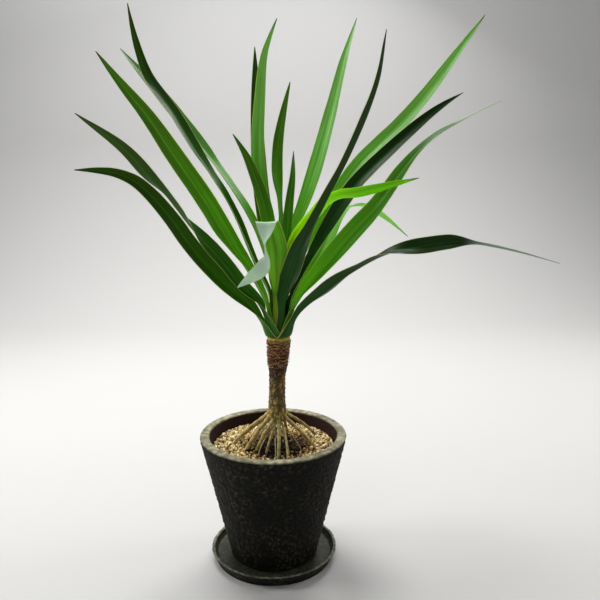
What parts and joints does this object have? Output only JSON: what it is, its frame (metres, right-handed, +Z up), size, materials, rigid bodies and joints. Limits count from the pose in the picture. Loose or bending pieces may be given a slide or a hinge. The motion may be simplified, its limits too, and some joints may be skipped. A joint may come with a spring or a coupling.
{
  "type": "potted dragon tree",
  "caption": "Young dragon tree with a slim ringed stem, stilt roots and a crown of long sword-shaped leaves, in a tapered dark clay pot on a matching round saucer.",
  "frame": {"origin": "centre of the saucer's flat underside, on the pot's axis", "axes": "+Z up along the pot's axis; +X to the viewer's right and +Y away from the viewer, seen from the front"},
  "size_m": [0.4315, 0.3056, 0.5733],
  "materials": {
    "saucer_clay": "rough dark olive clay, worn paler at the rim, slightly glossy inside",
    "pot_clay": "rough near-black olive clay with a grey-olive rim top and a dark red-brown inside wall",
    "soil": "loose dark potting soil",
    "grit": "loose cream, ochre and tan grit, matt",
    "bark": "ringed olive-tan bark, red-brown near the top",
    "root_bark": "smooth tan-brown root skin, faintly ringed",
    "leaf": "satin deep green leaf with fine lengthwise lines and a thin pale margin",
    "young_leaf": "satin bright yellow-green young leaf with fine lengthwise lines"
  },
  "bodies": {
    "root": {"saucer": "saucer_clay", "pot": "pot_clay", "potting_soil": "soil", "top_dressing": "grit", "stem": "bark", "root_01": "root_bark", "root_02": "root_bark", "root_03": "root_bark", "root_04": "root_bark", "root_05": "root_bark", "root_06": "root_bark", "root_07": "root_bark", "root_08": "root_bark", "root_09": "root_bark", "root_10": "root_bark", "root_11": "root_bark", "root_12": "root_bark", "leaf_01": "leaf", "leaf_02": "leaf", "leaf_03": "leaf", "leaf_04": "leaf", "leaf_05": "leaf", "leaf_06": "leaf", "leaf_07": "leaf", "leaf_08": "leaf", "leaf_09": "leaf", "leaf_10": "leaf", "leaf_11": "leaf", "leaf_12": "leaf", "leaf_13": "young_leaf", "leaf_14": "young_leaf", "leaf_15": "young_leaf", "leaf_16": "young_leaf", "leaf_17": "young_leaf", "leaf_18": "young_leaf", "leaf_19": "young_leaf"}
  },
  "joints": []
}
